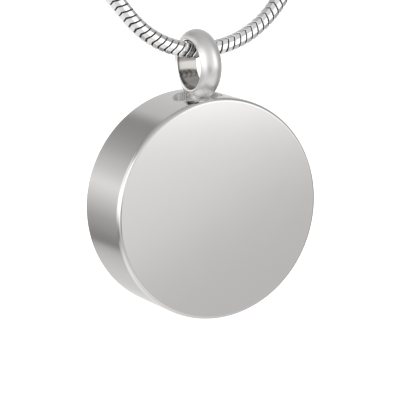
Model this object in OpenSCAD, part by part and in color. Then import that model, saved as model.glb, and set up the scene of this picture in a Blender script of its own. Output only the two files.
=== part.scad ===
// Keepsake urn pendant: a hollow steel drum that holds a pinch of ash, closed by a screw whose
// head is a bail ring, hanging on a closed loop of snake chain with a barrel clasp at the nape.
// Millimetres. +Z is up, the drum's faces look along -Y and +Y, and the chain lies in the XZ plane.
// The origin is on the underside of the clasp, where the loop bears on the nape.

/* [Urn drum] */
// Diameter of the drum
drum_d = 20; // [16:0.5:28]
// Thickness from face to face
drum_t = 6.66; // [5.5:0.01:9]
// Radius of the polished edge round each face
drum_edge_r = 0.32; // [0.2:0.01:0.8]
// Thickness of the shell round the ash chamber
drum_wall = 1.4; // [1.2:0.05:1.6]
// Radius of the corners inside the ash chamber
chamber_edge_r = 0.3; // [0.2:0.05:0.5]

/* [Filling hole] */
// Diameter of the flat-bottomed recess in the top of the rim
recess_d = 4.5; // [4:0.1:5]
// Depth of the recess below the top of the rim
recess_depth = 0.84; // [0.5:0.02:0.9]
// Diameter of the boss that carries the tapped hole inside the chamber
boss_d = 4.6; // [4:0.1:5]
// Length of the tapped hole below the recess
tapped_len = 3.2; // [2.5:0.1:4]
// Radius of the tapped hole at the crests of its thread
tapped_r = 1.03; // [1.02:0.01:1.05]

/* [Bail screw] */
// Radius of the hole through the ring
ring_hole_r = 2.18; // [2:0.02:2.4]
// Radius of the round section that the ring is turned from
ring_wire_r = 1.12; // [1:0.02:1.3]
// Radius at which the middle of that section runs
ring_mid_r = 2; // [1.9:0.02:2.1]
// Radius of the two rounded edges of the hole
ring_edge_r = 0.18; // [0.12:0.02:0.26]
// Height of the ring's middle above the drum's middle
ring_rise = 12.66; // [12.5:0.02:12.8]
// Diameter of the short neck under the ring
neck_d = 1.84; // [1.6:0.02:2]
// Diameter of the flange that seats in the recess
flange_d = 2.36; // [2.2:0.02:3]
// Thickness of the flange
flange_t = 0.4; // [0.3:0.02:0.5]
// Gap between the flange and the floor of the recess
seat_gap = 0.02; // [0.01:0.01:0.05]
// Length of the threaded stem below the flange
stem_len = 2.8; // [2:0.1:3]
// Radius of the stem at the crests of its thread
stem_r = 0.98; // [0.95:0.01:1]
// Pitch of the thread
thread_pitch = 0.4; // [0.35:0.05:0.5]
// Depth of the thread
thread_depth = 0.16; // [0.1:0.01:0.2]

/* [Snake chain] */
// Diameter of the chain
chain_d = 1.5; // [1.2:0.05:1.6]
// Length of the closed necklace, clasp included
necklace_len = 508; // [406:1:610]
// Radius of the bend at the bottom, where the bail hangs
drop_r = 9.6; // [9:0.1:12]
// Slope of the straight flanks, from the horizontal
flank_angle = 51.5; // [48:0.5:60]
// Sideways place of the pendant, beside the lowest point of the chain
pendant_x = -0.75; // [-1:0.05:0]
// Height of the chain's lowest point above the drum's middle
chain_rise = 13.84; // [13.8:0.01:13.9]

/* [Clasp] */
// Length of the barrel clasp
clasp_len = 12; // [10:0.5:14]
// Diameter of the barrel clasp
clasp_d = 3.2; // [2.8:0.1:4]
// Radius of its rounded ends
clasp_edge_r = 0.6; // [0.4:0.1:0.7]
// Depth of the socket at each end
clasp_socket = 3.2; // [2.5:0.1:4]
// Radial room round the chain in a socket
clasp_room = 0.04; // [0.03:0.01:0.1]
// Width of the joint line round the middle
clasp_line = 0.3; // [0.2:0.05:0.5]

/* [Hidden] */
$fn = 96;
slack = 1;
chain_r = chain_d / 2;
drum_r = drum_d / 2;

// The half loop is an arc under the bail, a straight flank, the neck arc and a short straight at
// the clasp. The neck radius follows from the length of the necklace.
top_half = clasp_len / 2 + slack;
theta = flank_angle;
arc = PI / 180;
neck_r = (necklace_len / 2 - top_half - drop_r * theta * arc - top_half / cos(theta)
    + drop_r * tan(theta)) / (tan(theta) + (180 - theta) * arc);
flank_len = (top_half + (neck_r - drop_r) * sin(theta)) / cos(theta);
loop_top_z = clasp_d / 2;
neck_z = loop_top_z - neck_r;
drop_z = neck_z - (neck_r - drop_r) * cos(theta) - flank_len * sin(theta);
low_z = drop_z - drop_r;
drum_z = low_z - chain_rise;

// Rings along the tube: steps in the bend, in each flank and in each neck arc
tube_sides = 8;
drop_steps = 12;
flank_steps = 4;
neck_steps = 26;
// The chain ends inside the sockets, clear of their floors
end_x = clasp_len / 2 - clasp_socket + 0.2;
right_half = concat(
    [for (i = [0 : drop_steps / 2])
        let (a = theta * i / (drop_steps / 2))
        [drop_r * sin(a), drop_z - drop_r * cos(a), a]],
    [for (i = [1 : flank_steps])
        let (s = flank_len * i / flank_steps)
        [drop_r * sin(theta) + s * cos(theta), drop_z - drop_r * cos(theta) + s * sin(theta), theta]],
    [for (i = [1 : neck_steps])
        let (a = theta + (180 - theta) * i / neck_steps)
        [top_half + neck_r * sin(a), neck_z - neck_r * cos(a), a]],
    [[end_x, loop_top_z, 180]]);
// Each station holds x, z and the direction of travel, an angle from +X towards +Z
stations = concat(
    [for (i = [len(right_half) - 1 : -1 : 1])
        [-right_half[i][0], right_half[i][1], -right_half[i][2]]],
    right_half);

function tube_ring(s, r) = [for (k = [0 : tube_sides - 1])
    let (b = 360 * (k + 0.5) / tube_sides, n = r * cos(b))
    [s[0] - n * sin(s[2]), r * sin(b), s[1] + n * cos(s[2])]];
function tube_skin(n, m) = concat(
    [[for (k = [0 : m - 1]) k]],
    [for (i = [0 : n - 2], k = [0 : m - 1])
        [i * m + k, (i + 1) * m + k, (i + 1) * m + (k + 1) % m, i * m + (k + 1) % m]],
    [[for (k = [m - 1 : -1 : 0]) (n - 1) * m + k]]);

module rounded_disc(d, t, r) {
    rotate([90, 0, 0])
        rotate_extrude() {
            translate([0, -t / 2])
                square([d / 2 - r, t]);
            translate([0, r - t / 2])
                square([d / 2, t - 2 * r]);
            for (side = [-1, 1])
                translate([d / 2 - r, side * (t / 2 - r)])
                    circle(r);
        }
}

// A shaft along Z from 0 down to -len, with ring grooves at the thread's pitch; a negative depth
// cuts the tapped hole's shape, whose grooves stand outwards
module threaded_shaft(r, len, depth) {
    turns = floor((len - thread_pitch) / thread_pitch);
    rotate_extrude()
        polygon(concat(
            [[0, 0], [r, 0]],
            [for (i = [0 : turns - 1], p = [[0.1, 0], [0.5, depth], [0.9, 0]])
                [r - p[1], -thread_pitch * (0.5 + i + p[0])]],
            [[r, -len], [0, -len]]));
}

module drum() {
    color("silver")
        translate([pendant_x, 0, drum_z])
            difference() {
                rounded_disc(drum_d, drum_t, drum_edge_r);
                difference() {
                    rounded_disc(drum_d - 2 * drum_wall, drum_t - 2 * drum_wall, chamber_edge_r);
                    translate([0, 0, drum_r - recess_depth - tapped_len])
                        cylinder(h = tapped_len, d = boss_d);
                }
                translate([0, 0, drum_r - recess_depth])
                    cylinder(h = recess_depth + slack, d = recess_d);
                translate([0, 0, drum_r - recess_depth])
                    threaded_shaft(tapped_r, tapped_len, -thread_depth);
            }
}

// The ring's section: a circle cut flat by the hole, with both corners rounded
module ring_section() {
    inset = ring_hole_r + ring_edge_r - ring_mid_r;
    reach = ring_wire_r - ring_edge_r;
    side = sqrt(reach * reach - inset * inset);
    corner = ring_wire_r / reach;
    intersection() {
        translate([ring_mid_r, 0])
            circle(ring_wire_r);
        polygon([
            [ring_hole_r + ring_edge_r, -side],
            [ring_mid_r + inset * corner, -side * corner],
            [ring_mid_r + 2 * ring_wire_r, -side * corner],
            [ring_mid_r + 2 * ring_wire_r, side * corner],
            [ring_mid_r + inset * corner, side * corner],
            [ring_hole_r + ring_edge_r, side]]);
    }
    translate([ring_hole_r, -side])
        square([ring_edge_r, 2 * side]);
    for (way = [-1, 1])
        translate([ring_hole_r + ring_edge_r, way * side])
            circle(ring_edge_r);
}

module bail_screw() {
    flange_z = drum_r - recess_depth + seat_gap;
    color("silver")
        translate([pendant_x, 0, drum_z]) {
            translate([0, 0, ring_rise])
                rotate([0, 90, 0])
                    rotate_extrude()
                        ring_section();
            translate([0, 0, flange_z])
                cylinder(h = ring_rise - ring_hole_r - ring_edge_r - flange_z, d = neck_d);
            translate([0, 0, flange_z])
                cylinder(h = flange_t, d = flange_d);
            translate([0, 0, flange_z])
                threaded_shaft(stem_r, stem_len, thread_depth);
        }
}

module snake_chain() {
    color("gainsboro")
        polyhedron(
            points = [for (s = stations, p = tube_ring(s, chain_r)) p],
            faces = tube_skin(len(stations), tube_sides),
            convexity = 10);
}

module clasp() {
    color("silver")
        translate([0, 0, loop_top_z])
            rotate([0, 90, 0])
                difference() {
                    rotate_extrude() {
                        translate([0, -clasp_len / 2])
                            square([clasp_d / 2 - clasp_edge_r, clasp_len]);
                        translate([0, clasp_edge_r - clasp_len / 2])
                            square([clasp_d / 2, clasp_len - 2 * clasp_edge_r]);
                        for (side = [-1, 1])
                            translate([clasp_d / 2 - clasp_edge_r, side * (clasp_len / 2 - clasp_edge_r)])
                                circle(clasp_edge_r);
                    }
                    for (side = [-1, 1])
                        translate([0, 0, side * (clasp_len / 2 + slack / 2 - clasp_socket / 2)])
                            cylinder(h = clasp_socket + slack, r = chain_r + clasp_room, center = true);
                    rotate_extrude()
                        translate([clasp_d / 2, 0])
                            circle(clasp_line / 2);
                }
}

drum();
bail_screw();
snake_chain();
clasp();
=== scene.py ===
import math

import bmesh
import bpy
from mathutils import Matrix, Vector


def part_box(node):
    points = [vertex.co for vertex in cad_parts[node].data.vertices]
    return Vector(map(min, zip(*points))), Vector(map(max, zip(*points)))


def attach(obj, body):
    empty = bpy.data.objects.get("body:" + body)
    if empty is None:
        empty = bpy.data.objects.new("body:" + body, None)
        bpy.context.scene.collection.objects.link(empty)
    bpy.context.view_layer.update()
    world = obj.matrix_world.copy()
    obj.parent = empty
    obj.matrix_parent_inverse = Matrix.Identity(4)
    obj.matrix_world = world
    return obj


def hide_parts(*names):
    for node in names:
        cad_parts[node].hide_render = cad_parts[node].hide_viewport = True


bl_info = {
    "name": "Keepsake Urn Pendant",
    "version": (1, 0, 0),
    "blender": (4, 5, 0),
    "location": "View3D > Sidebar > Pendant",
    "description": "Dresses a steel keepsake urn pendant, its bail screw, snake chain and clasp",
    "category": "Add Mesh",
}

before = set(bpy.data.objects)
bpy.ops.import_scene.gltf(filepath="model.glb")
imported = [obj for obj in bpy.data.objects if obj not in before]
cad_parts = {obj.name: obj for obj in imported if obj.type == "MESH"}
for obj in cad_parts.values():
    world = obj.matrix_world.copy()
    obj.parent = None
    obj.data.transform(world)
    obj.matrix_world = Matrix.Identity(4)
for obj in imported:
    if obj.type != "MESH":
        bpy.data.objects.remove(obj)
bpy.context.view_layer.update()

MM = 0.001
DRUM_LOW, DRUM_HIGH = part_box("drum")
DRUM_MIDDLE = (DRUM_LOW + DRUM_HIGH) / 2
SCREW_LOW, SCREW_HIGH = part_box("bail_screw")
CLASP_LOW, CLASP_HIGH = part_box("clasp")
CLASP_MIDDLE = (CLASP_LOW + CLASP_HIGH) / 2
CLASP_HALF = (CLASP_HIGH.x - CLASP_LOW.x) / 2
FULL_TURN = 2 * math.pi

# Steps round each turned shape
DRUM_STEPS = 256
CHAMBER_STEPS = 128
RECESS_STEPS = 128
SHAFT_STEPS = 96
TAPPED_STEPS = 64
RING_STEPS = 192
THREAD_STEPS = 48
CLASP_STEPS = 60
LINK_SIDES = 12

# Vertices nearer than this are one, in a turned shape and after a cut
SPIN_SEAM = 0.0005 * MM
CUT_SEAM = 0.0004 * MM
# What lies nearer than this to a surface counts as on it
TOUCH = 0.01 * MM

# Brightest wall of the light tent, which its colour ramps take as white
TENT_TOP = 1.25
# Brightness of the plain backdrop that the camera sees
BACKDROP = 1.1
# The overhead softbox: its strength, and how many degrees of the sky it fills
OVERHEAD_STRENGTH = 3.6
OVERHEAD_WIDTH = 70.0
# The floor reaches this far each way and lies this far below the drum
FLOOR_REACH = 12.0
FLOOR_DROP = 35 * MM

# The photo's camera: degrees to the right of the front, degrees up, degrees of lean, and how far
# it stands from the drum's middle. Lens and sensor are in millimetres.
CAMERA_SIDE = -28.495
CAMERA_RISE = 12.448
CAMERA_LEAN = -1.2815
CAMERA_DISTANCE = 217.63 * MM
CAMERA_LENS = 218.26
CAMERA_SENSOR = 36.0
CAMERA_SHIFT = (-0.00342, 0.00785)
CAMERA_SEES = (0.01, 50.0)


# Sizes and finishes that a user may change

def length(name, description, default):
    return bpy.props.FloatProperty(
        name=name, description=description, default=default, min=0.0,
        unit="LENGTH", subtype="DISTANCE", precision=5)


def linear(code):
    """Linear RGBA from an sRGB hex code."""
    out = []
    for start in (1, 3, 5):
        value = int(code[start:start + 2], 16) / 255
        out.append(value / 12.92 if value <= 0.04045 else ((value + 0.055) / 1.055) ** 2.4)
    return (*out, 1.0)


def colour(name, description, code):
    return bpy.props.FloatVectorProperty(
        name=name, description=description, default=linear(code), size=4, min=0.0, max=1.0,
        subtype="COLOR")


def share(name, description, default):
    return bpy.props.FloatProperty(
        name=name, description=description, default=default, min=0.0, max=1.0, subtype="FACTOR")


class PendantSizes(bpy.types.PropertyGroup):
    drum_diameter: length("Drum diameter", "Across the two flat faces", DRUM_HIGH.x - DRUM_LOW.x)
    drum_thickness: length("Drum thickness", "From face to face", DRUM_HIGH.y - DRUM_LOW.y)
    edge_reach: length("Edge reach", "How far the rounded edge reaches over the face", 0.34 * MM)
    edge_depth: length("Edge depth", "How far the rounded edge reaches down the rim", 0.5 * MM)
    drum_wall: length("Drum wall", "Thickness of the shell round the ash chamber", 1.4 * MM)
    chamber_edge: length("Chamber edge", "Rounded corner inside the ash chamber", 0.3 * MM)
    recess_diameter: length("Recess diameter", "Flat-bottomed recess in the rim", 4.5 * MM)
    recess_depth: length("Recess depth", "Below the top of the rim", 0.84 * MM)
    recess_forward: length(
        "Recess forward", "How far it is milled in front of the screw", 0.45 * MM)
    recess_aside: length(
        "Recess aside", "How far it is milled to the left of the screw", 0.35 * MM)
    boss_diameter: length("Boss diameter", "Boss round the tapped hole", 4.6 * MM)
    tapped_length: length("Tapped length", "Tapped hole below the recess", 3.2 * MM)
    tapped_radius: length("Tapped radius", "At the crests of the tapped thread", 1.03 * MM)
    ring_hole: length("Ring hole radius", "Hole that the chain runs through", 2.18 * MM)
    ring_wire: length("Ring section radius", "Round section of the bail ring", 1.12 * MM)
    ring_middle: length("Ring radius", "Where the middle of the section runs", 2.0 * MM)
    ring_edge: length("Ring hole edge", "Rounded edge of the hole", 0.18 * MM)
    neck_diameter: length("Neck diameter", "Short neck under the ring", 1.84 * MM)
    flange_diameter: length("Flange diameter", "Flange that seats in the recess", 2.36 * MM)
    flange_thickness: length("Flange thickness", "Along the screw", 0.4 * MM)
    stem_length: length("Stem length", "Threaded stem below the flange", 2.8 * MM)
    stem_radius: length("Stem radius", "At the crests of the thread", 0.98 * MM)
    thread_pitch: length("Thread pitch", "Rise in one turn", 0.4 * MM)
    thread_depth: length("Thread depth", "Crest to root", 0.16 * MM)
    chain_diameter: length("Chain diameter", "Across the corners of a link", 1.5 * MM)
    necklace_length: length("Necklace length", "Closed loop, clasp included", 508 * MM)
    link_pitch: length("Link pitch", "From one link to the next", 0.665 * MM)
    drop_radius: length("Bend radius", "Bend under the bail", 9.6 * MM)
    flank_angle: bpy.props.FloatProperty(
        name="Flank slope", description="Straight flanks, from the horizontal",
        default=math.radians(51.5), subtype="ANGLE")
    clasp_edge: length("Clasp edge", "Rounded ends of the barrel clasp", 0.6 * MM)
    clasp_socket: length("Clasp socket", "Depth of the socket at each end", 3.2 * MM)
    clasp_line: length("Clasp joint line", "Groove between the two halves", 0.3 * MM)


class PendantFinish(bpy.types.PropertyGroup):
    drum_steel: colour("Drum steel", "Mirror-polished stainless steel", "#D0CECD")
    drum_roughness: share("Drum roughness", "Haze of the polished drum", 0.13)
    recess_painted_light: colour("Recess steel", "Floor and wall of the recess, lightened as painted light", "#F8F8F7")
    bail_steel: colour("Bail steel", "Tumbled stainless steel", "#DAD9D8")
    bail_roughness: share("Bail roughness", "Haze of the tumbled bail", 0.36)
    bore_shaded_steel: colour("Bore steel with painted shade", "Drilled and reamed hole of the ring", "#ABA8A5")
    edge_painted_highlight: colour("Edge painted highlight", "Edges of the ring's hole, brightened as a painted highlight", "#F8F7F6")
    chain_steel: colour("Chain steel", "Bright-rolled stainless strip", "#E2E1E1")
    chain_roughness: share("Chain roughness", "Haze of the rolled links", 0.16)
    link_gap_shade: colour("Link gaps, painted shade", "Edges and hidden tongues between the links, darkened as painted shade", "#4A4948")
    clasp_steel: colour("Clasp steel", "Turned and polished stainless steel", "#CDCCCA")
    clasp_roughness: share("Clasp roughness", "Haze of the turned clasp", 0.2)
    board: colour("Floor board", "Matt white lacquered board", "#F4F3F1")


def sizes():
    """The sizes set in this scene."""
    return bpy.context.scene.pendant_sizes


def finish():
    """The colours and finishes set in this scene."""
    return bpy.context.scene.pendant_finish


# Materials

def add_node(tree, kind, inputs=None, **settings):
    """One node with its settings; each input is given a value or a socket to take it from."""
    node = tree.nodes.new(kind)
    for name, value in settings.items():
        setattr(node, name, value)
    for name, value in (inputs or {}).items():
        if isinstance(value, bpy.types.NodeSocket):
            tree.links.new(value, node.inputs[name])
        else:
            node.inputs[name].default_value = value
    return node


def new_material(name):
    """An empty node tree of a new material, and where its patterns sit on the piece."""
    material = bpy.data.materials.new(name)
    material.use_nodes = True
    tree = material.node_tree
    tree.nodes.clear()
    return material, tree, add_node(tree, "ShaderNodeTexCoord").outputs["Object"]


def polished_steel(name, tint, roughness, haze, scratch_mm, scratch_depth_mm, metallic=1.0):
    """Stainless steel with the faint cloudiness and hairlines that polishing leaves."""
    material, tree, place = new_material(name)
    # Clouds about 3 mm across, where the buffing wheel pressed harder or lighter
    clouds = add_node(tree, "ShaderNodeTexNoise", {
        "Vector": place, "Scale": 1 / (3 * MM), "Detail": 3.0, "Roughness": 0.5})
    worn = add_node(tree, "ShaderNodeMapRange", {
        "Value": clouds.outputs["Fac"], "From Min": 0.3, "From Max": 0.7,
        "To Min": roughness - haze, "To Max": roughness + haze})
    # Hairlines of the last polishing compound, drawn out eight to one along the wheel's path
    across = 1 / (scratch_mm * MM)
    stretched = add_node(tree, "ShaderNodeMapping", {
        "Vector": place, "Scale": (across / 8, across, across)})
    hairlines = add_node(tree, "ShaderNodeTexNoise", {
        "Vector": stretched.outputs["Vector"], "Scale": 1.0, "Detail": 2.0, "Roughness": 0.6})
    bump = add_node(tree, "ShaderNodeBump", {
        "Height": hairlines.outputs["Fac"], "Strength": 1.0, "Distance": scratch_depth_mm * MM})
    shader = add_node(tree, "ShaderNodeBsdfPrincipled", {
        "Base Color": tint, "Metallic": metallic,
        "Roughness": worn.outputs["Result"], "Normal": bump.outputs["Normal"]})
    add_node(tree, "ShaderNodeOutputMaterial", {"Surface": shader.outputs["BSDF"]})
    return material


def lacquered_board(name, tint):
    """Matt white board: an even, slightly toothed white that shows no grain at this distance."""
    material, tree, place = new_material(name)
    # The real lacquer's tooth is too fine to show, so it is drawn 2.5 mm from peak to peak
    tooth = add_node(tree, "ShaderNodeTexNoise", {
        "Vector": place, "Scale": 1 / (2.5 * MM), "Detail": 2.0})
    bump = add_node(tree, "ShaderNodeBump", {
        "Height": tooth.outputs["Fac"], "Strength": 0.1, "Distance": 0.02 * MM})
    shader = add_node(tree, "ShaderNodeBsdfPrincipled", {
        "Base Color": tint, "Roughness": 0.7, "Normal": bump.outputs["Normal"]})
    add_node(tree, "ShaderNodeOutputMaterial", {"Surface": shader.outputs["BSDF"]})
    return material


# Mesh helpers

def arc_points(centre, radius, start, stop, steps):
    """Points of an arc in a plane, with its angles in degrees."""
    return [
        (centre[0] + radius * math.cos(a), centre[1] + radius * math.sin(a))
        for a in (math.radians(start + (stop - start) * i / steps) for i in range(steps + 1))]


def spun(profile, steps, closed=False):
    """A solid of revolution about Z from points given as radius and height."""
    bm = bmesh.new()
    points = [bm.verts.new((radius, 0, height)) for radius, height in profile]
    pairs = list(zip(points, points[1:])) + ([(points[-1], points[0])] if closed else [])
    edges = [bm.edges.new(pair) for pair in pairs]
    bmesh.ops.spin(
        bm, geom=points + edges, cent=(0, 0, 0), axis=(0, 0, 1), angle=FULL_TURN,
        steps=steps, use_merge=True)
    bmesh.ops.remove_doubles(bm, verts=bm.verts, dist=SPIN_SEAM)
    bmesh.ops.recalc_face_normals(bm, faces=bm.faces)
    return bm


def set_down(bm, middle, axis="Z"):
    """Turns a mesh made about Z to another axis and moves it to its place."""
    turn = {
        "Z": Matrix.Identity(4),
        "Y": Matrix.Rotation(math.radians(90), 4, "X"),
        "X": Matrix.Rotation(math.radians(90), 4, "Y")}[axis]
    bmesh.ops.transform(bm, matrix=Matrix.Translation(middle) @ turn, verts=bm.verts)
    return bm


def as_object(name, bm, material=None, smooth_angle=32.0):
    """Puts a finished mesh in the scene, where it is, under this name."""
    mesh = bpy.data.meshes.new(name)
    bm.to_mesh(mesh)
    bm.free()
    obj = bpy.data.objects.new(name, mesh)
    bpy.context.scene.collection.objects.link(obj)
    if material:
        mesh.materials.append(material)
    shade(mesh, smooth_angle)
    return obj


def shade(mesh, smooth_angle):
    """Smooth faces, with a sharp edge where two of them meet at more than the angle in degrees."""
    mesh.shade_smooth()
    mesh.set_sharp_from_angle(angle=math.radians(smooth_angle))


def combine(obj, tool, operation):
    """Cuts or joins a helper solid, which is used up."""
    change = obj.modifiers.new("shape", "BOOLEAN")
    change.operation = operation
    change.solver = "EXACT"
    change.object = tool
    bpy.context.view_layer.update()
    made = bpy.data.meshes.new_from_object(
        obj.evaluated_get(bpy.context.evaluated_depsgraph_get()))
    obj.modifiers.clear()
    obj.data = made
    bpy.data.objects.remove(tool)
    bm = bmesh.new()
    bm.from_mesh(made)
    bmesh.ops.remove_doubles(bm, verts=bm.verts, dist=CUT_SEAM)
    bmesh.ops.dissolve_degenerate(bm, edges=bm.edges, dist=CUT_SEAM)
    if not bm.verts or any(not edge.is_manifold for edge in bm.edges):
        raise RuntimeError(f"{obj.name} is not closed after its {operation.lower()}")
    bm.to_mesh(made)
    bm.free()


def dress(mesh, *materials):
    """Gives a mesh these materials in this order, in place of any that it has."""
    mesh.materials.clear()
    for material in materials:
        mesh.materials.append(material)


def hand_over(obj, body, slot, *nodes):
    """Says which body a finished piece rides on and which solids it stands for; its slot is not
    used.
    """
    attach(obj, body)
    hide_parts(*nodes)


# Shapes

def rounded_disc(diameter, thickness, reach, depth, steps):
    """A flat drum about Z; its rounded edges reach inwards over the faces and down the rim."""
    radius, half = diameter / 2, thickness / 2
    quarter = arc_points((0, 0), 1, 0, 90, steps=16)
    upper = [(radius - reach + reach * x, half - depth + depth * z) for x, z in quarter]
    lower = [(r, -z) for r, z in reversed(upper)]
    return spun([(0, -half), *lower, *upper, (0, half)], steps)


def plain_shaft(radius, top, bottom, steps=SHAFT_STEPS):
    """A plain cylinder about Z."""
    return spun([(0, bottom), (radius, bottom), (radius, top), (0, top)], steps)


def drum_normals(mesh, middle, radius, half, reach, depth):
    """Exact normals on the rim and its rounded edges, so that the cut recess leaves no ripple."""
    shade(mesh, 20.0)
    normals = [Vector(corner.vector) for corner in mesh.corner_normals]
    hair = TOUCH / 10
    for face in mesh.polygons:
        spot, facing = face.center - middle, face.normal
        far = math.hypot(spot.x, spot.z)
        # The flat faces and all that lies inside them are left as they are
        if far < radius - reach - 2 * TOUCH or abs(facing.y) > 0.9999:
            continue
        # So is the wall of the recess, which looks sideways or inwards
        if facing.x * spot.x + facing.z * spot.z < 0.02 * far and abs(facing.y) < 0.2:
            continue
        for loop in face.loop_indices:
            point = mesh.vertices[mesh.loops[loop].vertex_index].co - middle
            out = math.hypot(point.x, point.z)
            ray = Vector((point.x, 0, point.z)) / out
            over = abs(point.y) - (half - depth)
            if over < hair:
                normals[loop] = ray
            elif out > radius - reach - hair:
                across = Vector((0, math.copysign(over / depth ** 2, point.y), 0))
                normals[loop] = (ray * (out - radius + reach) / reach ** 2 + across).normalized()
    mesh.normals_split_custom_set(normals)


def make_drum(s, material, lightened_recess_material):
    """Hollow drum: outer shell, ash chamber with its boss, recess and tapped hole."""
    radius, middle = s.drum_diameter / 2, DRUM_MIDDLE
    floor = radius - s.recess_depth
    bottom = floor - s.tapped_length
    drum = as_object("drum_shell", set_down(
        rounded_disc(s.drum_diameter, s.drum_thickness, s.edge_reach, s.edge_depth, DRUM_STEPS),
        middle, "Y"))
    chamber = as_object("chamber", set_down(rounded_disc(
        s.drum_diameter - 2 * s.drum_wall, s.drum_thickness - 2 * s.drum_wall, s.chamber_edge,
        s.chamber_edge, CHAMBER_STEPS), middle, "Y"))
    boss = as_object("boss", set_down(
        plain_shaft(s.boss_diameter / 2, floor + MM, bottom), middle))
    combine(chamber, boss, "DIFFERENCE")
    combine(drum, chamber, "DIFFERENCE")
    # The tapped hole has a ring groove for each turn and a chamfered mouth
    grooves = [(0, bottom), (s.tapped_radius, bottom)]
    flank = 0.4 * s.thread_pitch
    for turn in reversed(range(int(s.tapped_length / s.thread_pitch) - 1)):
        low = floor - s.thread_pitch * (turn + 1)
        grooves += [
            (s.tapped_radius, low - flank), (s.tapped_radius + s.thread_depth, low),
            (s.tapped_radius, low + flank)]
    chamfer, overcut = 0.1 * MM, 0.02 * MM
    grooves += [
        (s.tapped_radius, floor + overcut - chamfer), (s.tapped_radius + chamfer, floor + overcut),
        (0, floor + overcut)]
    hole = as_object("tapped_hole", set_down(spun(grooves, TAPPED_STEPS), middle))
    combine(drum, hole, "DIFFERENCE")
    aside = Vector((-s.recess_aside, -s.recess_forward, 0))
    recess = as_object("recess", set_down(
        plain_shaft(s.recess_diameter / 2, radius + MM, floor, RECESS_STEPS), middle + aside))
    combine(drum, recess, "DIFFERENCE")
    dress(drum.data, material, lightened_recess_material)
    # The recess faces take the second material, painted light that brightens the shaded recess
    for face in drum.data.polygons:
        spot = face.center - middle
        face.material_index = int(
            spot.z > floor - TOUCH
            and (spot - aside).xy.length < s.recess_diameter / 2 + TOUCH
            and math.hypot(spot.x, spot.z) < radius - TOUCH)
    drum_normals(drum.data, middle, radius, s.drum_thickness / 2, s.edge_reach, s.edge_depth)
    return drum


def ring_section(s):
    """The ring's section, closed: a circle cut flat by the hole, with both corners rounded."""
    inset = s.ring_hole + s.ring_edge - s.ring_middle
    reach = s.ring_wire - s.ring_edge
    side = math.sqrt(reach ** 2 - inset ** 2)
    turn = math.degrees(math.atan2(side, inset))
    edge = s.ring_hole + s.ring_edge
    return (
        arc_points((s.ring_middle, 0), s.ring_wire, -turn, turn, steps=40)
        + arc_points((edge, side), s.ring_edge, turn, 180, steps=8)[1:]
        + arc_points((edge, -side), s.ring_edge, 180, 360 - turn, steps=8)[:-1])


def make_bail_screw(s, material, shaded_bore_material, edge_material):
    """Bail ring, neck, flange and threaded stem, soldered into one piece."""
    axis = Vector((DRUM_MIDDLE.x, DRUM_MIDDLE.y, 0))
    ring_z = SCREW_HIGH.z - s.ring_middle - s.ring_wire
    ring_centre = axis + Vector((0, 0, ring_z))
    screw = as_object("bail_ring_and_screw", set_down(
        spun(ring_section(s), RING_STEPS, closed=True), ring_centre, "X"))
    foot = SCREW_LOW.z
    seat = foot + s.stem_length
    brim = seat + s.flange_thickness
    neck, flange, root = s.neck_diameter / 2, s.flange_diameter / 2, s.stem_radius - s.thread_depth
    # The neck widens into a collar of solder where it meets the ring, and ends inside the ring
    under = ring_z - s.ring_middle - math.sqrt(s.ring_wire ** 2 - neck ** 2)
    top = ring_z - s.ring_hole - 0.25 * MM
    tip, ease, collar = 0.2 * MM, 0.06 * MM, 0.05 * MM
    profile = [
        (0, foot), (root - tip, foot), (root, foot + tip), (root, seat),
        (flange - ease, seat), (flange, seat + ease), (flange, brim - ease), (flange - ease, brim),
        (neck + ease, brim), (neck, brim + ease), (neck, under - 0.08 * MM),
        (neck + collar, under + 0.04 * MM), (neck + collar, top), (0, top)]
    combine(screw, as_object("screw_shaft", set_down(spun(profile, SHAFT_STEPS), axis)), "UNION")
    # The thread is a triangle carried round by a spin that also goes down. Its foot is buried in
    # the stem, and it stops short of the flange and of the tip
    thread = bmesh.new()
    pitch, buried = s.thread_pitch, root - 0.02 * MM
    start = seat - 0.75 * pitch
    corners = [thread.verts.new((r, 0, start + z)) for r, z in (
        (buried, 0.4 * pitch), (s.stem_radius, 0), (buried, -0.4 * pitch))]
    sides = [thread.edges.new(pair) for pair in zip(corners, corners[1:] + corners[:1])]
    steps = int((s.stem_length - 1.3 * pitch) / pitch * THREAD_STEPS)
    bmesh.ops.spin(
        thread, geom=corners + sides, cent=(0, 0, 0), axis=(0, 0, 1), steps=steps,
        angle=FULL_TURN * steps / THREAD_STEPS, dvec=(0, 0, -pitch / THREAD_STEPS),
        use_merge=False)
    bmesh.ops.holes_fill(thread, edges=[e for e in thread.edges if e.is_boundary], sides=3)
    bmesh.ops.recalc_face_normals(thread, faces=thread.faces)
    combine(screw, as_object("thread", set_down(thread, axis)), "UNION")
    dress(screw.data, material, shaded_bore_material, edge_material)
    # The hole's wall takes the darker tint, painted shade; its rounded edges a painted highlight
    for face in screw.data.polygons:
        out = (face.center - ring_centre).yz.length - s.ring_hole
        face.material_index = 1 if out < 0.004 * MM else 2 if out < 0.8 * s.ring_edge else 0
    shade(screw.data, 30.0)
    return screw


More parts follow.
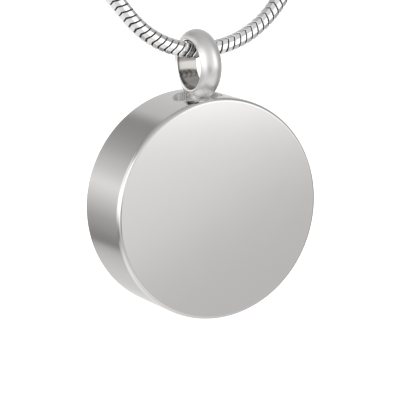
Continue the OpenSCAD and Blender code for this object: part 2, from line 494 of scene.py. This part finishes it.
class ChainRoute:
    """The closed loop, as in the solids: a bend, two flanks, the neck arc and a short straight."""

    def __init__(self, s):
        slope, drop = s.flank_angle, s.drop_radius
        self.slope, self.drop = slope, drop
        # The straight at the top runs a millimetre past each end of the clasp
        self.top_half = CLASP_HALF + 1 * MM
        self.neck = (
            s.necklace_length / 2 - self.top_half - drop * slope
            - self.top_half / math.cos(slope) + drop * math.tan(slope)
        ) / (math.tan(slope) + math.pi - slope)
        self.flank = (self.top_half + (self.neck - drop) * math.sin(slope)) / math.cos(slope)
        self.top_z = CLASP_MIDDLE.z
        self.neck_z = self.top_z - self.neck
        self.drop_z = (
            self.neck_z - (self.neck - drop) * math.cos(slope) - self.flank * math.sin(slope))

    def at(self, along):
        """Place and turn of the point this far from the bottom of the loop."""
        side, rest = (1 if along >= 0 else -1), abs(along)
        bend = self.drop * self.slope
        arc = self.neck * (math.pi - self.slope)
        if rest <= bend:
            turn = rest / self.drop
            x, z = self.drop * math.sin(turn), self.drop_z - self.drop * math.cos(turn)
        elif rest <= bend + self.flank:
            turn, run = self.slope, rest - bend
            x = self.drop * math.sin(turn) + run * math.cos(turn)
            z = self.drop_z - self.drop * math.cos(turn) + run * math.sin(turn)
        elif rest <= bend + self.flank + arc:
            turn = self.slope + (rest - bend - self.flank) / self.neck
            x = self.top_half + self.neck * math.sin(turn)
            z = self.neck_z - self.neck * math.cos(turn)
        else:
            turn = math.pi
            x = self.top_half - (rest - bend - self.flank - arc)
            z = self.top_z
        return Matrix.Translation((side * x, 0, z)) @ Matrix.Rotation(-side * turn, 4, "Y")


def chain_link(s):
    """One link: a twelve-sided band that zigzags round the chain and tucks under the next one."""
    radius, pitch = s.chain_diameter / 2, s.link_pitch
    # Along the chain: half the bright band, half the strip, and the tip of the hidden tongue
    band, strip, tongue = 0.35 * pitch, 0.41 * pitch, 0.85 * pitch
    # Out from its middle: the strip's rounded shoulder, the tongue's root and tip, the strip's heel
    shoulder, root, tip, heel = radius - 0.04 * MM, 0.66 * MM, 0.6 * MM, 0.67 * MM
    section = [
        (-band, radius), (band, radius), (strip, shoulder), (strip, root), (tongue, tip),
        (-strip, heel), (-strip, shoulder)]
    # The first of the corners stands 8 degrees below the front
    corner = math.radians(-8)
    bm = bmesh.new()
    points = [
        bm.verts.new((x, -r * math.cos(corner), r * math.sin(corner))) for x, r in section]
    edges = [bm.edges.new(pair) for pair in zip(points, points[1:] + points[:1])]
    bmesh.ops.spin(
        bm, geom=points + edges, cent=(0, 0, 0), axis=(1, 0, 0), angle=FULL_TURN,
        steps=LINK_SIDES, use_merge=True)
    bmesh.ops.recalc_face_normals(bm, faces=bm.faces)
    # Faces below the shoulder take the second material, a dark painted shade between the links
    for face in bm.faces:
        deep = min(math.hypot(v.co.y, v.co.z) for v in face.verts) < shoulder - TOUCH / 2
        face.material_index = 1 if deep else 0
    # The zigzag peaks 52 degrees above the front and again on the opposite side, and turns back
    # half way between them. The strip is a little narrower there, and the tongue keeps its length
    peak, swing, pinch = 52, 0.4 * pitch, 0.05
    for vert in bm.verts:
        turn = math.degrees(math.atan2(vert.co.z, -vert.co.y)) - peak
        quarter = (turn % 180) / 90
        if abs(vert.co.x) < 0.5 * pitch:
            vert.co.x *= 1 - pinch * max(0.0, 1 - 2 * abs(quarter - 1))
        vert.co.x += swing * (1 - 2 * quarter if quarter <= 1 else 2 * quarter - 3)
    mesh = bpy.data.meshes.new("chain_link")
    bm.to_mesh(mesh)
    bm.free()
    return mesh


def make_snake_chain(s, material, edge_material):
    """Every link of the loop, set along the route from one socket of the clasp to the other."""
    route, link = ChainRoute(s), chain_link(s)
    # Each end of the chain stops short of the floor of its socket
    clear = 0.35 * MM
    reach = s.necklace_length / 2 - CLASP_HALF + s.clasp_socket - clear
    count = round(2 * reach / s.link_pitch)
    step = 2 * reach / count
    bm = bmesh.new()
    for number in range(count):
        placed = link.copy()
        placed.transform(route.at(-reach + step * (number + 0.5)))
        bm.from_mesh(placed)
        bpy.data.meshes.remove(placed)
    bpy.data.meshes.remove(link)
    chain = as_object("snake_chain_links", bm, material)
    chain.data.materials.append(edge_material)
    chain.data.shade_flat()
    return chain


def make_clasp(s, material):
    """Barrel clasp: two turned halves with a joint line, knurled bands and a socket at each end."""
    radius, half = (CLASP_HIGH.z - CLASP_LOW.z) / 2, CLASP_HALF
    edge, line = s.clasp_edge, s.clasp_line / 2
    room, groove = 0.04 * MM, 0.08 * MM
    bore, socket_floor = s.chain_diameter / 2 + room, half - s.clasp_socket
    # In millimetres from the joint line: the three knurled bands between two turned grooves
    knurl = (0.9, 1.7, 2.5, 3.3)
    heights = (
        (0.5, 0), (0.6, groove), (0.7, 0), *((z, 0) for z in knurl), (3.5, 0), (3.6, groove),
        (3.7, 0))
    side = (
        arc_points((radius, 0), line, 180, 90, steps=6)
        + [(radius - cut, z * MM) for z, cut in heights]
        + arc_points((radius - edge, half - edge), edge, 0, 90, steps=8)
        + [(bore, half), (bore, socket_floor), (0, socket_floor)])
    mirrored = [(r, -z) for r, z in reversed(side)]
    bm = spun(mirrored + side[1:], CLASP_STEPS)
    # Each face of the bands is pressed in, which leaves the knurl's ridges between them
    ridge, dent = 0.035 * MM, 0.05 * MM
    band = [
        face for face in bm.faces
        if knurl[0] * MM < abs(face.calc_center_median().z) < knurl[-1] * MM
        and face.calc_center_median().xy.length > radius - dent]
    bmesh.ops.inset_individual(bm, faces=band, thickness=ridge, depth=-dent)
    return as_object("barrel_clasp", set_down(bm, CLASP_MIDDLE, "X"), material)


# Stage

def ramp(node, stops):
    """Fills a colour ramp from pairs of elevation in degrees and brightness."""
    elements = node.color_ramp.elements
    while len(elements) > 1:
        elements.remove(elements[-1])
    for number, (elevation, brightness) in enumerate(stops):
        place, value = (elevation + 90) / 180, brightness / TENT_TOP
        element = elements[0] if number == 0 else elements.new(place)
        element.position = place
        element.color = (value, value, value, 1)


def light_tent(world):
    """Soft light tent: pale walls of uneven brightness, two dark shapes, a softbox and a strip."""
    world.use_nodes = True
    tree = world.node_tree
    tree.nodes.clear()
    ray = add_node(tree, "ShaderNodeTexCoord").outputs["Generated"]
    parts = add_node(tree, "ShaderNodeSeparateXYZ", {"Vector": ray}).outputs
    upward = add_node(tree, "ShaderNodeMath", {0: parts["Z"]}, operation="ARCSINE")
    elevation = add_node(
        tree, "ShaderNodeMath", {0: upward.outputs[0]}, operation="DEGREES").outputs[0]
    forward = add_node(tree, "ShaderNodeMath", {0: parts["Y"], 1: -1.0}, operation="MULTIPLY")
    round_about = add_node(
        tree, "ShaderNodeMath", {0: parts["X"], 1: forward.outputs[0]}, operation="ARCTAN2")
    azimuth = add_node(
        tree, "ShaderNodeMath", {0: round_about.outputs[0]}, operation="DEGREES").outputs[0]

    def wall(height, *stops):
        """Brightness of a wall from pairs of elevation in degrees and brightness."""
        place = add_node(
            tree, "ShaderNodeMath", {0: height, 1: 1 / 180, 2: 0.5}, operation="MULTIPLY_ADD")
        node = add_node(tree, "ShaderNodeValToRGB", {"Fac": place.outputs[0]})
        ramp(node, stops)
        return add_node(tree, "ShaderNodeRGBToBW", {"Color": node.outputs["Color"]}).outputs["Val"]

    def panel(light, strength, sideways, upright):
        """Adds a soft-edged lamp, or takes away a share of the light where strength is below 0.
        Each way gives the outer edge, the two edges of full strength and the other outer edge."""
        shape = 1.0 if strength > 0 else light
        for value, (low, full_low, full_high, high) in ((azimuth, sideways), (elevation, upright)):
            for outer, inner in ((low, full_low), (high, full_high)):
                edge = add_node(tree, "ShaderNodeMapRange", {
                    "Value": value, "From Min": outer, "From Max": inner},
                    interpolation_type="SMOOTHSTEP")
                shape = add_node(tree, "ShaderNodeMath", {
                    0: edge.outputs[0], 1: shape}, operation="MULTIPLY").outputs[0]
        return add_node(tree, "ShaderNodeMath", {
            0: shape, 1: strength, 2: light}, operation="MULTIPLY_ADD").outputs[0]

    # The front wall's lower edge rises to the right by twice the slant, between two azimuths, so
    # the drum's face darkens that way too
    slant_start, slant_stop, slant = 22.5, 34.5, 3.3
    aside = add_node(tree, "ShaderNodeMapRange", {
        "Value": azimuth, "From Min": slant_start, "From Max": slant_stop,
        "To Min": slant, "To Max": -slant})
    slanted = add_node(
        tree, "ShaderNodeMath", {0: elevation, 1: aside.outputs[0]}, operation="ADD")
    front = wall(
        slanted.outputs[0], (-90, 1.0), (-50, 1.1), (-36, 0.98), (-29, 0.86), (-24, 0.76),
        (-20, 0.75), (-16.5, 0.77), (-14.3, 0.82), (-13.3, 0.88), (-12.4, 0.965), (-11.4, 0.99),
        (-10.1, 1.03), (-7, 1.1), (0, 1.08), (15, 1.04), (32, 0.98), (50, 0.86), (90, 0.62))
    back_left = wall(
        elevation, (-90, 1.0), (-60, 1.05), (-50, 1.25), (-36, 1.15), (-31, 0.8), (-27.5, 0.72),
        (-25.4, 0.6), (-23.5, 0.31), (-21, 0.35), (-18, 0.43), (-12.7, 0.53), (-7, 0.73),
        (-1, 0.94), (4, 1.1), (7, 1.0), (11, 0.85), (16, 0.72), (21, 0.55), (25, 0.45),
        (28.8, 0.36), (31, 0.37), (48, 0.56), (90, 0.62))
    back_right = wall(
        elevation, (-90, 1.0), (-60, 1.05), (-50, 1.25), (-36, 1.1), (-30, 0.76), (-24, 0.82),
        (-16, 0.9), (0, 0.8), (20, 0.79), (26, 0.76), (31, 0.68), (48, 0.6), (90, 0.62))
    # Each wall fades into the next along one part of the ray, between its two values
    walls = back_left
    for other, way, start, stop in ((back_right, "X", -0.05, 0.1), (front, "Y", 0.25, -0.35)):
        share_of_other = add_node(tree, "ShaderNodeMapRange", {
            "Value": parts[way], "From Min": start, "From Max": stop},
            interpolation_type="SMOOTHSTEP")
        walls = add_node(tree, "ShaderNodeMix", {
            0: share_of_other.outputs[0], 2: walls, 3: other}, data_type="FLOAT").outputs[0]
    light = add_node(
        tree, "ShaderNodeMath", {0: walls, 1: TENT_TOP}, operation="MULTIPLY").outputs[0]
    # A grey flag on the right and a dark stand low down, left of the front
    light = panel(light, -0.42, (48, 62, 100, 122), (-91, -90, 30, 80))
    light = panel(light, -0.75, (-44, -37, -10, -4), (-20, -16, -8, 0))
    # The big softbox right of the front and the strip along the left side
    light = panel(light, 0.75, (14, 22, 47, 58), (-9, -4, 34, 42))
    light = panel(light, 0.8, (-146, -134, -56, -42), (-18, -1, 30, 42))
    # The backdrop itself is seen as plain white
    seen = add_node(tree, "ShaderNodeLightPath").outputs["Is Camera Ray"]
    backdrop = add_node(tree, "ShaderNodeMath", {0: seen, 1: BACKDROP}, operation="MULTIPLY")
    strength = add_node(
        tree, "ShaderNodeMath", {0: light, 1: backdrop.outputs[0]}, operation="MAXIMUM")
    shine = add_node(tree, "ShaderNodeBackground", {
        "Color": linear("#FFFFFF"), "Strength": strength.outputs[0]})
    add_node(tree, "ShaderNodeOutputWorld", {"Surface": shine.outputs["Background"]})


class PENDANT_OT_stage(bpy.types.Operator):
    """Lay the pale floor and light it"""
    bl_idname = "pendant.stage"
    bl_label = "Floor and light"

    def execute(self, context):
        scene = context.scene
        scene.view_settings.view_transform = "Standard"
        bm = bmesh.new()
        bmesh.ops.create_grid(bm, x_segments=1, y_segments=1, size=FLOOR_REACH)
        bmesh.ops.translate(bm, vec=(0, 0, DRUM_LOW.z - FLOOR_DROP), verts=bm.verts)
        floor = as_object("floor", bm, lacquered_board("Matt white board", finish().board))
        floor.visible_glossy = False
        scene.world = bpy.data.worlds.new("Light tent")
        light_tent(scene.world)
        lamp = bpy.data.lights.new("Overhead softbox", "SUN")
        lamp.energy = OVERHEAD_STRENGTH
        lamp.angle = math.radians(OVERHEAD_WIDTH)
        overhead = bpy.data.objects.new("Overhead softbox", lamp)
        overhead.visible_glossy = False
        scene.collection.objects.link(overhead)
        return {"FINISHED"}


class PENDANT_OT_camera(bpy.types.Operator):
    """Stand the camera where the photograph was taken"""
    bl_idname = "pendant.camera"
    bl_label = "Camera"

    def execute(self, context):
        side, rise, lean = map(math.radians, (CAMERA_SIDE, CAMERA_RISE, CAMERA_LEAN))
        back = Vector((
            math.sin(side) * math.cos(rise), -math.cos(side) * math.cos(rise), math.sin(rise)))
        across = Vector((math.cos(side), math.sin(side), 0))
        upward = back.cross(across)
        right = across * math.cos(lean) + upward * math.sin(lean)
        up = upward * math.cos(lean) - across * math.sin(lean)
        lens = bpy.data.cameras.new("Camera")
        lens.sensor_width, lens.lens = CAMERA_SENSOR, CAMERA_LENS
        lens.shift_x, lens.shift_y = CAMERA_SHIFT
        lens.clip_start, lens.clip_end = CAMERA_SEES
        camera = bpy.data.objects.new("Camera", lens)
        context.scene.collection.objects.link(camera)
        turn = Matrix((right, up, back)).transposed().to_4x4()
        camera.matrix_world = Matrix.Translation(DRUM_MIDDLE + back * CAMERA_DISTANCE) @ turn
        context.scene.camera = camera
        return {"FINISHED"}


class PENDANT_OT_drum(bpy.types.Operator):
    """Turn the hollow drum with its recess and tapped hole"""
    bl_idname = "pendant.drum"
    bl_label = "Urn drum"

    def execute(self, context):
        look = finish()
        # Mirror-polished: soft, clean gradients with almost no grain
        steel = polished_steel(
            "Mirror-polished stainless steel", look.drum_steel, look.drum_roughness, haze=0.012,
            scratch_mm=0.12, scratch_depth_mm=0.00012)
        # Painted light: a rough, near-white, barely metal tint brightens the recess out of its
        # shade
        lightened_recess = polished_steel(
            "Stainless recess with painted light", look.recess_painted_light, 0.4, haze=0.03, scratch_mm=0.1,
            scratch_depth_mm=0.0001, metallic=0.15)
        hand_over(make_drum(sizes(), steel, lightened_recess), "urn", "drum", "drum")
        return {"FINISHED"}


class PENDANT_OT_bail_screw(bpy.types.Operator):
    """Build the bail ring with its neck, flange and threaded stem"""
    bl_idname = "pendant.bail_screw"
    bl_label = "Bail screw"

    def execute(self, context):
        look = finish()
        # Tumbled with steel shot: a bright but slightly milky, satiny shine
        steel = polished_steel(
            "Tumbled stainless steel", look.bail_steel, look.bail_roughness, haze=0.03,
            scratch_mm=0.15, scratch_depth_mm=0.0006)
        # The bore keeps the reamer's mirror, not the tumbling; its darker tint is painted shade
        bore = polished_steel(
            "Reamed stainless bore with painted shade", look.bore_shaded_steel, 0.13, haze=0.02, scratch_mm=0.1,
            scratch_depth_mm=0.0001)
        # The rounded edges of the hole rub on the chain and on other parts: they shine most
        # Painted highlight: the hole's rounded edges get a brighter tint and a smoother finish
        highlighted_edge = polished_steel(
            "Stainless edge with painted highlight", look.edge_painted_highlight, 0.2, haze=0.03, scratch_mm=0.1,
            scratch_depth_mm=0.0002)
        hand_over(
            make_bail_screw(sizes(), steel, bore, highlighted_edge), "bail", "bail_screw", "bail_screw")
        return {"FINISHED"}


class PENDANT_OT_snake_chain(bpy.types.Operator):
    """Set every link of the snake chain along the loop"""
    bl_idname = "pendant.snake_chain"
    bl_label = "Snake chain"

    def execute(self, context):
        look = finish()
        # Rolled strip: crisp bright facets that break where one link ends
        steel = polished_steel(
            "Bright-rolled stainless strip", look.chain_steel, look.chain_roughness, haze=0.03,
            scratch_mm=0.08, scratch_depth_mm=0.0006)
        # Painted shade: the cut edges and hidden tongues are dark and dull, a line between links
        edge = polished_steel(
            "Strip edge with painted shade", look.link_gap_shade, 0.45, haze=0.05, scratch_mm=0.08,
            scratch_depth_mm=0.0006)
        hand_over(make_snake_chain(sizes(), steel, edge), "necklace", "snake_chain", "snake_chain")
        return {"FINISHED"}


class PENDANT_OT_clasp(bpy.types.Operator):
    """Turn the barrel clasp at the nape"""
    bl_idname = "pendant.clasp"
    bl_label = "Barrel clasp"

    def execute(self, context):
        look = finish()
        # Turned and polished: fine rings, bright knurled bands
        steel = polished_steel(
            "Turned stainless steel", look.clasp_steel, look.clasp_roughness, haze=0.03,
            scratch_mm=0.1, scratch_depth_mm=0.0006)
        hand_over(make_clasp(sizes(), steel), "necklace", "clasp", "clasp")
        return {"FINISHED"}


class PENDANT_PT_panel(bpy.types.Panel):
    """Lists the pieces of the pendant and their sizes"""
    bl_idname = "PENDANT_PT_panel"
    bl_label = "Keepsake urn pendant"
    bl_space_type = "VIEW_3D"
    bl_region_type = "UI"
    bl_category = "Pendant"

    def draw(self, context):
        for operator in OPERATORS:
            self.layout.operator(operator.bl_idname)
        for group in (sizes(), finish()):
            column = self.layout.column(align=True)
            for name in group.__annotations__:
                column.prop(group, name)


OPERATORS = (
    PENDANT_OT_camera, PENDANT_OT_stage, PENDANT_OT_snake_chain, PENDANT_OT_clasp,
    PENDANT_OT_bail_screw, PENDANT_OT_drum)
CLASSES = (PendantSizes, PendantFinish, *OPERATORS, PENDANT_PT_panel)


def register():
    for one in CLASSES:
        bpy.utils.register_class(one)
    bpy.types.Scene.pendant_sizes = bpy.props.PointerProperty(type=PendantSizes)
    bpy.types.Scene.pendant_finish = bpy.props.PointerProperty(type=PendantFinish)


def unregister():
    del bpy.types.Scene.pendant_sizes
    del bpy.types.Scene.pendant_finish
    for one in reversed(CLASSES):
        bpy.utils.unregister_class(one)


def main():
    register()
    bpy.ops.pendant.camera()
    bpy.ops.pendant.stage()
    bpy.ops.pendant.snake_chain()
    bpy.ops.pendant.clasp()
    bpy.ops.pendant.bail_screw()
    bpy.ops.pendant.drum()


if __name__ == "__main__":
    main()
